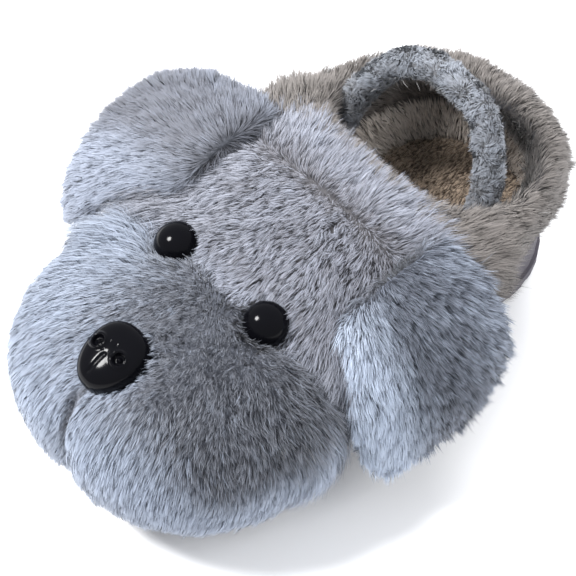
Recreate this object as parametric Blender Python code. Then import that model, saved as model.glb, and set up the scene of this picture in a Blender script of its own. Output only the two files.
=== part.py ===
"""Plush animal slipper for an adult foot: a padded shell on a thick sole, with a stuffed muzzle, hanging ears,
domed eyes, a moulded nose and an arched heel strap. Metres, +Z up, toe towards -Y, wearer's left towards +X."""

import math

import bmesh
import bpy
import numpy as np
from mathutils import Vector

# Driving sizes of the last and the sole
SOLE_LENGTH = 0.256
HEEL_BACK = 0.133
BALL_HALF_WIDTH = 0.052
HEEL_END_ROUND = 0.050
TOE_END_ROUND = 0.064
HEEL_THICKNESS = 0.023
BALL_THICKNESS = 0.018
TOE_SPRING = 0.007
ARCH_RISE = 0.004
TREAD_STEP = 0.0015
TREAD_HEIGHT = 0.007
GROOVE_WIDTH = 0.005
GROOVE_DEPTH = 0.0025
GROOVE_PITCH = 0.014
HEEL_FIRST_GROOVE = 0.035
FOREFOOT_FIRST_GROOVE = 0.145
FIT_GAP = 0.0003

# Driving sizes of the upper
FEATHER_INSET = 0.0015
UPPER_WALL = 0.005
COLLAR_WALL = 0.007
COLLAR_LENGTH = 0.083
COLLAR_HALF_WIDTH = 0.051
HEEL_HEIGHT = 0.080
SIDE_HEIGHT = 0.081
INSTEP_HEIGHT = 0.091
CROWN_RISE = 0.008
HEEL_TUCK = 0.016
SHELL_FULLNESS = 2.0
THROAT_LOCK = 0.005

# Driving sizes of the footbed, muzzle, eyes and nose
FOOTBED_THICKNESS = 0.006
MUZZLE_HALF_WIDTH = 0.0695
MUZZLE_HALF_LENGTH = 0.0640
MUZZLE_HALF_HEIGHT = 0.0400
MUZZLE_BEHIND_TOE = 0.0545
MUZZLE_MIDDLE_HEIGHT = 0.047
MUZZLE_FULLNESS = 2.2
MUZZLE_LOW_FULLNESS = 2.7
PHILTRUM_DEPTH = 0.003
EYE_RADIUS = 0.0095
EYE_DOME = 0.0085
EYE_SPACING = 0.054
EYE_BEHIND_MUZZLE = 0.0225
EYE_SEAT = 0.0035
EYE_STAND = 0.0020
NOSE_HALF_WIDTH = 0.0138
NOSE_HALF_HEIGHT = 0.0155
NOSE_DOME = 0.0100
NOSE_SEAT = 0.004
NOSTRIL_RADIUS = 0.0032
NOSE_TILT = math.radians(47)

# Driving sizes of the ears and the strap
EAR_THICKNESS = 0.009
EAR_EDGE = 0.0035
EAR_LOCK = 0.004
EAR_BASE_X = 0.047
EAR_REAR = 0.034
EAR_LENGTH = 0.078
EAR_CORNER = 0.22
EAR_ABOVE_INSTEP = 0.001
STRAP_RADIUS = 0.0065
STRAP_HALF_SPAN = 0.0375
STRAP_MIDDLE = 0.058
STRAP_LEAN = 0.025
STRAP_AT_RIM = 0.38
STRAP_FOOT_HEIGHT = 0.066
STRAP_APEX_HEIGHT = 0.1130

AROUND = 64
UP = 10

# Half width of the sole along its length: share of the length from the heel, share of the ball's half width
OUTLINE = (
    # along, half_width
    (0.00, 0.885),
    (0.20, 0.900),
    (0.42, 0.880),
    (0.70, 1.000),
    (1.00, 0.940),
)

# How the shell stands out between feather line and collar: place round the last from the heel (0) to the toe (1),
# and the swell as a share of the ball's half width
SWELL = (
    # around, swell
    (0.00, 0.100),
    (0.25, 0.140),
    (0.55, 0.340),
    (0.80, 0.080),
    (1.00, 0.020),
)

# Each ear's base line and lower edge, from its front to its rear. Places along the shoe are shares of the ear's
# length ahead of its rear base corner, reach and drop are shares of the named reach and drop.
DROOPING_EAR = (
    # across, base_ahead, base_fall, end_ahead, end_reach, end_drop
    (-1.0, 0.76, 0.13, 0.96, 0.62, 0.86),
    (-0.5, 0.60, 0.05, 0.82, 0.86, 1.00),
    (0.0, 0.42, 0.01, 0.50, 1.00, 0.90),
    (0.5, 0.22, 0.00, 0.18, 1.00, 0.76),
    (1.0, 0.05, 0.00, -0.04, 0.86, 0.62),
)
STANDING_EAR = (
    # across, base_ahead, base_fall, end_ahead, end_reach, end_drop
    (-1.0, 0.76, 0.13, 1.10, 0.63, 1.32),
    (-0.5, 0.60, 0.05, 0.94, 0.88, 1.20),
    (0.0, 0.42, 0.01, 0.62, 0.98, 0.88),
    (0.5, 0.24, 0.00, 0.34, 0.92, 0.60),
    (1.0, 0.10, 0.00, 0.14, 0.72, 0.34),
)

# The near ear droops, and the far one stands out
EARS = (
    # name, side, reach, drop, lines
    ("ear_left", 1, 0.041, 0.067, DROOPING_EAR),
    ("ear_right", -1, 0.069, 0.047, STANDING_EAR),
)

# Colours and finish of each sub-part
FINISH = (
    # name, red, green, blue, roughness
    ("outsole", 0.065, 0.060, 0.070, 0.70),
    ("insole", 0.140, 0.105, 0.080, 0.95),
    ("upper", 0.260, 0.270, 0.310, 0.95),
    ("muzzle", 0.250, 0.280, 0.350, 0.95),
    ("nose", 0.004, 0.004, 0.005, 0.12),
    ("eye_left", 0.004, 0.004, 0.005, 0.06),
    ("eye_right", 0.004, 0.004, 0.005, 0.06),
    ("ear_left", 0.290, 0.330, 0.410, 0.95),
    ("ear_right", 0.380, 0.410, 0.440, 0.95),
    ("heel_strap", 0.340, 0.370, 0.410, 0.95),
)


def clear_scene():
    for obj in list(bpy.data.objects):
        bpy.data.objects.remove(obj, do_unlink=True)


def collection(name):
    found = bpy.data.collections.new(name)
    bpy.context.scene.collection.children.link(found)
    return found


def smooth_table(rows, column, at):
    """A smooth curve through one column of a table whose first column rises."""
    places = np.array([row[0] for row in rows])
    values = np.array([row[column] for row in rows])
    slopes = np.gradient(values, places)
    at = np.clip(at, places[0], places[-1])
    i = np.clip(np.searchsorted(places, at, side="right") - 1, 0, len(rows) - 2)
    span = places[i + 1] - places[i]
    t = (at - places[i]) / span
    rise = values[i] * (1 + 2 * t) * (1 - t) ** 2 + values[i + 1] * t * t * (3 - 2 * t)
    return rise + span * t * (1 - t) * (slopes[i] * (1 - t) - slopes[i + 1] * t)


def smoothstep(low, high, at):
    t = np.clip((at - low) / (high - low), 0, 1)
    return t * t * (3 - 2 * t)


def around_shares():
    """Place round the last, 0 at the heel's back and 1 at the toe, for each point of a loop, and its side."""
    turn = np.arange(AROUND) / AROUND * 2
    return np.minimum(turn, 2 - turn), np.where(turn <= 1, 1.0, -1.0)


def outline_loop(grow=0.0):
    """The sole's outline in plan, from the heel's back round the wearer's left side, grown by a distance."""
    share, side = around_shares()
    length = SOLE_LENGTH + 2 * grow
    along = length * (1 - np.cos(math.pi * share)) / 2
    width = BALL_HALF_WIDTH * smooth_table(OUTLINE, 1, along / length) + grow
    for distance, end in ((along, HEEL_END_ROUND), (length - along, TOE_END_ROUND)):
        short = np.clip(1 - distance / (end + grow), 0, 1)
        width = width * (1 - short**2.3) ** (1 / 2.3)
    return np.stack([side * width, HEEL_BACK + grow - along], axis=1)


def sole_top(y):
    """Height of the sole's top, which falls from heel to ball and rises again at the toe."""
    share = (HEEL_BACK - y) / SOLE_LENGTH
    fall = HEEL_THICKNESS + (BALL_THICKNESS - HEEL_THICKNESS) * smoothstep(0.25, 0.65, share)
    return fall + TOE_SPRING * smoothstep(0.78, 1.05, share)


def sole_bottom(y):
    """Height of the tread: flat under heel and forefoot, raised at the arch and the toe."""
    share = (HEEL_BACK - y) / SOLE_LENGTH
    arch = smoothstep(0.28, 0.36, share) * (1 - smoothstep(0.42, 0.50, share))
    return ARCH_RISE * arch + TOE_SPRING * smoothstep(0.80, 1.02, share)


def collar_loop():
    """The collar's edge on the shell's outer face, matched to the outline loop point by point."""
    share, side = around_shares()
    turn = math.pi * share
    back = HEEL_BACK - HEEL_TUCK
    blunt = np.where(share > 0.5, 0.55, 0.85)
    x = side * COLLAR_HALF_WIDTH * np.abs(np.sin(turn)) ** blunt
    y = back - COLLAR_LENGTH * (1 - np.cos(turn)) / 2
    to_side = smoothstep(0.0, 0.45, share)
    to_throat = smoothstep(0.5, 0.95, share)
    z = HEEL_HEIGHT + (SIDE_HEIGHT - HEEL_HEIGHT) * to_side + (INSTEP_HEIGHT - SIDE_HEIGHT) * to_throat
    return np.stack([x, y, z], axis=1)


def shell_rings(grow=0.0):
    """Rings of the shell's outer face, from the feather line to the collar, as an array (ring, point, 3)."""
    share, _ = around_shares()
    plan = outline_loop(grow - FEATHER_INSET)
    foot = np.column_stack([plan, sole_top(plan[:, 1]) + FIT_GAP])
    collar = collar_loop()
    tangent = np.roll(plan, -1, axis=0) - np.roll(plan, 1, axis=0)
    outward = np.stack([-tangent[:, 1], tangent[:, 0]], axis=1)
    outward /= np.linalg.norm(outward, axis=1)[:, None]
    outward *= np.sign((outward * (plan - [0.0, plan[:, 1].mean()])).sum(axis=1))[:, None]
    swell = BALL_HALF_WIDTH * smooth_table(SWELL, 1, share)
    front = smoothstep(0.55, 0.95, share)
    rings = []
    for step in np.linspace(0, 1, UP + 1):
        angle = step * math.pi / 2
        inward = 1 - math.cos(angle) ** (2 / SHELL_FULLNESS)
        upward = math.sin(angle) ** (2 / SHELL_FULLNESS)
        ring = foot.copy()
        ring[:, :2] += (collar - foot)[:, :2] * inward + outward * (swell * math.sin(2 * angle) ** 0.9)[:, None]
        ring[:, 2] += (collar - foot)[:, 2] * upward
        ring[:, 2] += CROWN_RISE * front * math.sin(math.pi * step**6)
        rings.append(ring)
    rings = np.array(rings)
    return rings + ring_normals(rings) * max(grow, 0.0)


def ring_normals(rings):
    """Outward unit normals of a stack of closed rings."""
    around = np.roll(rings, -1, axis=1) - np.roll(rings, 1, axis=1)
    up = np.gradient(rings, axis=0)
    normal = np.cross(up, around)
    return normal / np.maximum(np.linalg.norm(normal, axis=2), 1e-9)[:, :, None]


def add_object(name, mesh_data, home):
    """A new object from a bmesh, with its normals made to face out."""
    bmesh.ops.recalc_face_normals(mesh_data, faces=mesh_data.faces)
    mesh = bpy.data.meshes.new(name)
    mesh_data.to_mesh(mesh)
    mesh_data.free()
    mesh.shade_smooth()
    mesh.set_sharp_from_angle(angle=math.radians(50))
    obj = bpy.data.objects.new(name, mesh)
    home.objects.link(obj)
    return obj


def add_cutter(name, mesh_data, home):
    obj = add_object(name, mesh_data, home)
    obj.hide_render = True
    obj.display_type = "WIRE"
    return obj


def cut(obj, cutter):
    modifier = obj.modifiers.new("cut_" + cutter.name, "BOOLEAN")
    modifier.operation = "DIFFERENCE"
    modifier.solver = "EXACT"
    modifier.object = cutter


def stack_rings(mesh_data, rings, closed=False):
    """Verts and side faces of a stack of closed rings. A closed stack joins its last ring to its first."""
    verts = [[mesh_data.verts.new(point) for point in ring] for ring in rings]
    pairs = list(zip(verts, verts[1:]))
    if closed:
        pairs.append((verts[-1], verts[0]))
    for low, high in pairs:
        for i in range(len(low)):
            j = (i + 1) % len(low)
            mesh_data.faces.new((low[i], low[j], high[j], high[i]))
    return verts


def cap_across(mesh_data, ring):
    """Fills a loop that is symmetric about X = 0 with strips from side to side."""
    half = len(ring) // 2
    for i in range(half):
        a, b = ring[i], ring[i + 1]
        c, d = ring[(len(ring) - i - 1) % len(ring)], ring[(len(ring) - i) % len(ring)]
        corners = [a, b, c, d]
        mesh_data.faces.new(list(dict.fromkeys(corners)))


def make_outsole(home, cutters):
    """Thick sole: a tread layer that stands out a little, a step, and a plain side band up to the feather line."""
    mesh_data = bmesh.new()
    rings = []
    for grow, share in ((-0.004, 0.0), (-TREAD_STEP, 0.0), (0.0, TREAD_STEP), (0.0, TREAD_HEIGHT)):
        plan = outline_loop(grow)
        rings.append(np.column_stack([plan, sole_bottom(plan[:, 1]) + share]))
    for grow, below in ((-TREAD_STEP, None), (-TREAD_STEP, 0.0015), (-0.0025, 0.0)):
        plan = outline_loop(grow)
        height = sole_bottom(plan[:, 1]) + TREAD_HEIGHT if below is None else sole_top(plan[:, 1]) - below
        rings.append(np.column_stack([plan, height]))
    verts = stack_rings(mesh_data, rings)
    cap_across(mesh_data, verts[0])
    cap_across(mesh_data, verts[-1])
    sole = add_object("outsole", mesh_data, home)
    cut(sole, make_grooves(cutters))
    return sole


def make_grooves(cutters):
    """Straight grooves across the tread, which leave its lugs, on the flats under heel and forefoot."""
    mesh_data = bmesh.new()
    flats = ((HEEL_BACK - HEEL_FIRST_GROOVE, 3), (HEEL_BACK - FOREFOOT_FIRST_GROOVE, 5))
    for start, count in flats:
        for i in range(count):
            box = bmesh.ops.create_cube(mesh_data, size=1.0)["verts"]
            scale = (3 * BALL_HALF_WIDTH, GROOVE_WIDTH, 2 * GROOVE_DEPTH)
            bmesh.ops.scale(mesh_data, vec=scale, verts=box)
            bmesh.ops.translate(mesh_data, vec=(0.0, start - i * GROOVE_PITCH, 0.0), verts=box)
    return add_cutter("tread_grooves", mesh_data, cutters)


def make_insole(home):
    """Footbed: a pad that follows the sole's top inside the shell."""
    mesh_data = bmesh.new()
    inset = FEATHER_INSET + UPPER_WALL + 2 * FIT_GAP
    rounding = 0.2 * FOOTBED_THICKNESS
    rings = []
    for extra, height in ((0.0, 0.0), (0.0, FOOTBED_THICKNESS - rounding), (rounding, FOOTBED_THICKNESS)):
        plan = outline_loop(-inset - extra - FIT_GAP)
        rings.append(np.column_stack([plan, sole_top(plan[:, 1]) + FIT_GAP + height]))
    verts = stack_rings(mesh_data, rings)
    cap_across(mesh_data, verts[0])
    cap_across(mesh_data, verts[-1])
    return add_object("insole", mesh_data, home)


def wall_at(level):
    """The shell's wall, thicker towards the padded collar."""
    return UPPER_WALL + (COLLAR_WALL - UPPER_WALL) * smoothstep(0.55, 0.95, level)


def upper_rings():
    """All rings of the shell in order: up its outer face, over the collar's rim, and down its inner face."""
    outer = shell_rings()
    normals = ring_normals(outer)
    levels = np.linspace(0, 1, UP + 1)
    inner = outer - normals * wall_at(levels)[:, None, None]
    plan = outline_loop(-FEATHER_INSET - UPPER_WALL)
    inner[0] = np.column_stack([plan, sole_top(plan[:, 1]) + FIT_GAP])
    middle = (outer[-1] + inner[-1]) / 2
    half = (outer[-1] - inner[-1]) / 2
    onward = outer[-1] - outer[-3]
    onward /= np.linalg.norm(onward, axis=1)[:, None]
    share, _ = around_shares()
    pointed = np.arange(AROUND) % 2 * smoothstep(0.70, 0.80, share) * THROAT_LOCK
    rim = []
    for turn in (0.25, 0.5, 0.75):
        angle = turn * math.pi
        reach = COLLAR_WALL / 2 * math.sin(angle) + pointed * math.sin(angle) ** 4
        rim.append(middle + half * math.cos(angle) + onward * np.broadcast_to(reach, (AROUND,))[:, None])
    return list(outer) + rim + list(inner[::-1])


def make_upper(home):
    """Hollow padded shell, open at the collar and underneath, with short pointed locks along the throat's edge."""
    mesh_data = bmesh.new()
    stack_rings(mesh_data, upper_rings(), closed=True)
    return add_object("upper", mesh_data, home)


def clear_half_width(y, low):
    """Smallest half width inside the shell at a place along the shoe, above a height."""
    widths = []
    for ring in upper_rings():
        left = ring[: AROUND // 2 + 1][::-1]
        if np.interp(y, left[:, 1], left[:, 2]) > low:
            widths.append(np.interp(y, left[:, 1], left[:, 0]))
    return min(widths)


def body_plug(name, grow, cutters):
    """Closed form of the sole and the shell together, grown by a clearance, that fits are cut with."""
    mesh_data = bmesh.new()
    plan = outline_loop(grow)
    floor = np.column_stack([plan, np.full(AROUND, -0.02)])
    shoulder = np.column_stack([plan, sole_top(plan[:, 1]) + grow])
    rings = [floor, shoulder] + list(shell_rings(grow))
    verts = stack_rings(mesh_data, rings)
    cap_across(mesh_data, verts[0])
    cap_across(mesh_data, verts[-1])
    return add_cutter(name, mesh_data, cutters)


def muzzle_middle():
    """Middle of the muzzle, which keeps its place behind the toe when the sole's length changes."""
    return Vector((0.0, HEEL_BACK - SOLE_LENGTH + MUZZLE_BEHIND_TOE, MUZZLE_MIDDLE_HEIGHT))


def muzzle_mesh(grow=0.0, around=48, up=24):
    """Superellipsoid of the stuffed muzzle, with a soft crease down its front."""
    mesh_data = bmesh.new()
    bmesh.ops.create_uvsphere(mesh_data, u_segments=around, v_segments=up, radius=1.0)
    radii = Vector((MUZZLE_HALF_WIDTH, MUZZLE_HALF_LENGTH, MUZZLE_HALF_HEIGHT))
    for vert in mesh_data.verts:
        ray = vert.co.normalized()
        power = MUZZLE_FULLNESS if ray.z > 0 else MUZZLE_LOW_FULLNESS
        level = (abs(ray.x) ** MUZZLE_FULLNESS + abs(ray.y) ** MUZZLE_FULLNESS) ** (1 / MUZZLE_FULLNESS)
        size = (level**power + abs(ray.z) ** power) ** (1 / power)
        point = Vector(part / size * (radius + grow) for part, radius in zip(ray, radii))
        below = min(max(-ray.y, 0.0) * 1.3, 1.0) * min(max(0.75 - ray.z, 0.0) * 2.0, 1.0)
        point.y += PHILTRUM_DEPTH * below * math.exp(-((point.x / 0.007) ** 2))
        vert.co = point + muzzle_middle()
    return mesh_data


def make_muzzle(home, cutters):
    muzzle = add_object("muzzle", muzzle_mesh(), home)
    cut(muzzle, body_plug("body_with_gap", FIT_GAP, cutters))
    return muzzle


def muzzle_surface(tilt):
    """Point and outward normal of the muzzle's middle line at an angle above straight ahead."""
    ahead, high = math.cos(tilt), math.sin(tilt)
    shape = abs(ahead / MUZZLE_HALF_LENGTH) ** MUZZLE_FULLNESS + abs(high / MUZZLE_HALF_HEIGHT) ** MUZZLE_FULLNESS
    reach = shape ** (-1 / MUZZLE_FULLNESS)
    point = muzzle_middle() + Vector((0.0, -reach * ahead, reach * high))
    power = MUZZLE_FULLNESS - 1
    normal = Vector((
        0.0,
        -((reach * ahead / MUZZLE_HALF_LENGTH) ** power) / MUZZLE_HALF_LENGTH,
        (reach * high / MUZZLE_HALF_HEIGHT) ** power / MUZZLE_HALF_HEIGHT,
    ))
    return point, normal.normalized()


def dome_mesh(radius, height, seat, grow):
    """A turned dome on a short round seat, about +Z, with its seat below the origin."""
    mesh_data = bmesh.new()
    rings = []
    for z, share in ((-seat, 0.82), (-seat, 1.0), (0.0, 1.0)):
        rings.append((radius * share + grow, z - grow if z < 0 else z))
    for step in (0.17, 0.34, 0.5, 0.64, 0.77, 0.89):
        angle = step * math.pi / 2
        rings.append(((radius + grow) * math.cos(angle), (height + grow) * math.sin(angle)))
    loops = []
    for reach, z in rings:
        turn = np.arange(28) / 28 * 2 * math.pi
        loops.append(np.stack([reach * np.cos(turn), reach * np.sin(turn), np.full(28, z)], axis=1))
    verts = stack_rings(mesh_data, loops)
    mesh_data.faces.new(verts[0])
    top = mesh_data.verts.new((0.0, 0.0, height + grow))
    for i in range(28):
        mesh_data.faces.new((verts[-1][i], verts[-1][(i + 1) % 28], top))
    return mesh_data


def place(mesh_data, point, axis):
    turn = Vector((0.0, 0.0, 1.0)).rotation_difference(axis).to_matrix().to_4x4()
    bmesh.ops.transform(mesh_data, matrix=turn, verts=mesh_data.verts)
    bmesh.ops.translate(mesh_data, vec=point, verts=mesh_data.verts)


def eye_seat(side):
    """Where an eye sits: the muzzle's surface near its seam with the forehead, and the way it faces."""
    x = side * EYE_SPACING / 2
    across = abs(x / MUZZLE_HALF_WIDTH) ** MUZZLE_FULLNESS
    along = abs(EYE_BEHIND_MUZZLE / MUZZLE_HALF_LENGTH) ** MUZZLE_FULLNESS
    high = MUZZLE_HALF_HEIGHT * (1 - across - along) ** (1 / MUZZLE_FULLNESS)
    axis = Vector((0.34 * side, -0.30, 0.90)).normalized()
    return muzzle_middle() + Vector((x, EYE_BEHIND_MUZZLE, high)) + axis * EYE_STAND, axis


def make_eye(name, side, home, cutters, seats):
    point, axis = eye_seat(side)
    mesh_data = dome_mesh(EYE_RADIUS, EYE_DOME, EYE_SEAT, 0.0)
    place(mesh_data, point, axis)
    eye = add_object(name, mesh_data, home)
    pocket = dome_mesh(EYE_RADIUS, EYE_DOME, EYE_SEAT, FIT_GAP)
    place(pocket, point, axis)
    cutter = add_cutter(name + "_pocket", pocket, cutters)
    for seat in seats:
        cut(seat, cutter)
    return eye


def nose_mesh(grow):
    """A rounded triangle, wide above and narrow below, domed about +Z with its top towards +Y."""
    mesh_data = dome_mesh(1.0, 1.0, 1.0, 0.0)
    for vert in mesh_data.verts:
        x, y, z = vert.co
        taper = 0.86 + 0.26 * y - 0.12 * y * y
        depth = NOSE_DOME + grow if z > 0 else NOSE_SEAT + grow
        vert.co = (x * taper * (NOSE_HALF_WIDTH + grow), y * (NOSE_HALF_HEIGHT + grow), z * depth)
    return mesh_data


def nostril_cutter(side, point, turn, cutters):
    mesh_data = bmesh.new()
    bmesh.ops.create_icosphere(mesh_data, subdivisions=2, radius=NOSTRIL_RADIUS)
    middle = Vector((side * 0.42 * NOSE_HALF_WIDTH, 0.12 * NOSE_HALF_HEIGHT, 1.02 * NOSE_DOME))
    bmesh.ops.translate(mesh_data, vec=middle, verts=mesh_data.verts)
    bmesh.ops.transform(mesh_data, matrix=turn, verts=mesh_data.verts)
    bmesh.ops.translate(mesh_data, vec=point, verts=mesh_data.verts)
    return add_cutter("nostril_" + ("left" if side > 0 else "right"), mesh_data, cutters)


def make_nose(home, cutters, muzzle):
    """Moulded nose in a pocket of the muzzle, with two nostrils."""
    point, axis = muzzle_surface(NOSE_TILT)
    turn = Vector((0.0, 0.0, 1.0)).rotation_difference(axis).to_matrix().to_4x4()
    nose_data = nose_mesh(0.0)
    place(nose_data, point, axis)
    nose = add_object("nose", nose_data, home)
    for side in (1, -1):
        cut(nose, nostril_cutter(side, point, turn, cutters))
    pocket = nose_mesh(FIT_GAP)
    place(pocket, point, axis)
    cut(muzzle, add_cutter("nose_pocket", pocket, cutters))
    return nose


def ear_grid(side, reach, drop, lines):
    """Middle face of an ear as a grid (down, across): it leaves the head flat, then hangs in a quarter oval."""
    across = np.linspace(-1, 1, 17)
    columns = [smooth_table(lines, column, across) for column in range(1, 6)]
    base_ahead, base_fall, end_ahead, end_reach, end_drop = columns
    rounded = 1 - EAR_CORNER * np.abs(across) ** 6
    down = np.linspace(0, 1, 13)[:, None] * rounded[None, :]
    bend = down * math.pi / 2
    base_height = INSTEP_HEIGHT + EAR_ABOVE_INSTEP
    base_z = base_height - base_fall * EAR_LENGTH
    end_z = base_height - end_drop * drop
    grid = np.empty((*down.shape, 3))
    grid[:, :, 0] = side * (EAR_BASE_X + reach * end_reach * np.sin(bend))
    grid[:, :, 1] = EAR_REAR - EAR_LENGTH * (base_ahead + (end_ahead - base_ahead) * np.sin(bend))
    grid[:, :, 2] = base_z - (base_z - end_z) * (1 - np.cos(bend)) ** 0.9
    return grid


def grid_normals(grid):
    normal = np.cross(np.gradient(grid, axis=1), np.gradient(grid, axis=0))
    return normal / np.maximum(np.linalg.norm(normal, axis=2), 1e-9)[:, :, None]


def rim_of(grid):
    """Grid places round the edge, in order."""
    rows, columns = grid.shape[:2]
    path = [(0, j) for j in range(columns)]
    path += [(i, columns - 1) for i in range(1, rows)]
    path += [(rows - 1, j) for j in range(columns - 2, -1, -1)]
    path += [(i, 0) for i in range(rows - 2, 0, -1)]
    return path


def make_ear(name, side, reach, drop, lines, home, cutters):
    """Stuffed flap: two faces, thick in the middle, whose shared edge runs out in pointed locks."""
    grid = ear_grid(side, reach, drop, lines)
    normals = grid_normals(grid) * side
    rows, columns = grid.shape[:2]
    v = np.abs(np.linspace(-1, 1, columns))
    u = np.linspace(0, 1, rows)
    full = (1 - v[None, :] ** 4) * (1 - u[:, None] ** 6)
    half = EAR_EDGE / 2 + (EAR_THICKNESS - EAR_EDGE) / 2 * full
    mesh_data = bmesh.new()
    faces = []
    for sign in (1, -1):
        points = grid + sign * normals * half[:, :, None]
        faces.append([[mesh_data.verts.new(point) for point in row] for row in points])
    for sheet in faces:
        for i in range(rows - 1):
            for j in range(columns - 1):
                mesh_data.faces.new((sheet[i][j], sheet[i][j + 1], sheet[i + 1][j + 1], sheet[i + 1][j]))
    path = rim_of(grid)
    centre = grid.mean(axis=(0, 1))
    edge = []
    for k, (i, j) in enumerate(path):
        away = grid[i, j] - centre
        away = away / np.linalg.norm(away)
        tuft = EAR_LOCK * (k % 2) * (i > 2)
        edge.append(mesh_data.verts.new(grid[i, j] + away * (0.001 + tuft)))
    for sheet in faces:
        for k in range(len(path)):
            a, b = path[k], path[(k + 1) % len(path)]
            m = (k + 1) % len(path)
            mesh_data.faces.new((sheet[a[0]][a[1]], sheet[b[0]][b[1]], edge[m], edge[k]))
    ear = add_object(name, mesh_data, home)
    for cutter in cutters:
        cut(ear, cutter)
    return ear


def strap_route():
    """Middle line of the strap: down inside the collar, up past its rim and over in an arch."""
    points = []
    at_rim = STRAP_MIDDLE + STRAP_LEAN * STRAP_AT_RIM
    foot_span = clear_half_width(at_rim, STRAP_FOOT_HEIGHT) - STRAP_RADIUS - 2 * FIT_GAP
    for t in np.linspace(0, math.pi, 25):
        high = math.sin(t) ** 0.8
        past_rim = smoothstep(0.35, 0.75, high)
        span = foot_span + (STRAP_HALF_SPAN - foot_span) * past_rim
        x = span * np.sign(math.cos(t)) * abs(math.cos(t)) ** 0.75
        z = STRAP_FOOT_HEIGHT + (STRAP_APEX_HEIGHT - STRAP_FOOT_HEIGHT) * high
        points.append((x, STRAP_MIDDLE + STRAP_LEAN * high, z))
    return points


def make_strap(home):
    """Round padded strap, as a tube along its route."""
    curve = bpy.data.curves.new("heel_strap", "CURVE")
    curve.dimensions = "3D"
    curve.bevel_depth = STRAP_RADIUS
    curve.bevel_resolution = 3
    curve.use_fill_caps = True
    spline = curve.splines.new("POLY")
    route = strap_route()
    spline.points.add(len(route) - 1)
    for point, place_at in zip(spline.points, route):
        point.co = (*place_at, 1.0)
    obj = bpy.data.objects.new("heel_strap", curve)
    home.objects.link(obj)
    return obj


def finish_parts():
    for name, red, green, blue, roughness in FINISH:
        material = bpy.data.materials.new(name)
        material.use_nodes = True
        shader = material.node_tree.nodes["Principled BSDF"]
        shader.inputs["Base Color"].default_value = (red, green, blue, 1.0)
        shader.inputs["Roughness"].default_value = roughness
        bpy.data.objects[name].data.materials.append(material)


def main():
    clear_scene()
    home = collection("animal_slipper")
    cutters = collection("cutters")
    make_outsole(home, cutters)
    make_insole(home)
    upper = make_upper(home)
    muzzle = make_muzzle(home, cutters)
    make_nose(home, cutters, muzzle)
    for name, side in (("eye_left", 1), ("eye_right", -1)):
        make_eye(name, side, home, cutters, (muzzle, upper))
    plug = bpy.data.objects["body_with_gap"]
    muzzle_form = add_cutter("muzzle_with_gap", muzzle_mesh(FIT_GAP), cutters)
    for name, side, reach, drop, lines in EARS:
        make_ear(name, side, reach, drop, lines, home, (plug, muzzle_form))
    make_strap(home)
    finish_parts()


main()
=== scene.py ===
# %% [markdown]
# # A plush animal slipper
#
# The model that was packed gives the true size of every part. This lesson dresses it: each soft solid becomes a
# stuffed skin, each skin grows its own fur, and the hard parts get a smooth surface and a gloss.

import math

import bmesh
import bpy
import numpy as np
from mathutils import Matrix, Vector


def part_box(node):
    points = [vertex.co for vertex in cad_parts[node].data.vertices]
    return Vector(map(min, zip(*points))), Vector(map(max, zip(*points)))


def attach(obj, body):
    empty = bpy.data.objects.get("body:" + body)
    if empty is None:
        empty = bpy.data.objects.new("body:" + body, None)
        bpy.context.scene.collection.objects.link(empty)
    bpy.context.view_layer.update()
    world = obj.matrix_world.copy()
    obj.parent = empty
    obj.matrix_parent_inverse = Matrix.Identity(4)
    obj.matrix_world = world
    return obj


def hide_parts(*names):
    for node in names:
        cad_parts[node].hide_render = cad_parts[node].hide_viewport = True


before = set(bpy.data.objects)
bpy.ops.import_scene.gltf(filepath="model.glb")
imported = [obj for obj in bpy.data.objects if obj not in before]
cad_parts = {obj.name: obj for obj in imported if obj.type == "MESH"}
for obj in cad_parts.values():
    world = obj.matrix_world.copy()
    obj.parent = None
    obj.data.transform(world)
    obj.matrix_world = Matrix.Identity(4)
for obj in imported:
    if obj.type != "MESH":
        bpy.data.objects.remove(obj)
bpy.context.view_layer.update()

# %% [markdown]
# ## The camera
#
# The camera looks down on the toe from the wearer's left. It turns about a point on the shoe's middle line, so
# three angles and a distance say all of it. The shift moves the picture a little without turning the view.

# %% Camera
FRAME_PIXELS = 576
SENSOR_MM = 36.0
CAMERA_AZIMUTH = math.radians(46.3)
CAMERA_ELEVATION = math.radians(53.0)
CAMERA_ROLL = math.radians(1.5)
CAMERA_DISTANCE = 0.768
CAMERA_TARGET = Vector((0.0, 0.0, 0.040))
PIXELS_PER_METRE = 2300.0
PICTURE_CENTRE = (303.6, 287.6)


def camera_axes():
    """The unit vectors that point right, up and back in the picture: azimuth and elevation aim it, and roll
    turns it."""
    a, e = CAMERA_AZIMUTH, CAMERA_ELEVATION
    back = Vector((math.sin(a) * math.cos(e), -math.cos(a) * math.cos(e), math.sin(e)))
    level = Vector((math.cos(a), math.sin(a), 0.0))
    upright = back.cross(level)
    right = level * math.cos(CAMERA_ROLL) + upright * math.sin(CAMERA_ROLL)
    up = upright * math.cos(CAMERA_ROLL) - level * math.sin(CAMERA_ROLL)
    return right, up, back


def looking_from(place, right, up, back):
    """The matrix of an object at a place whose own -Z looks away from back."""
    return Matrix.Translation(place) @ Matrix((right, up, back)).transposed().to_4x4()


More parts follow.
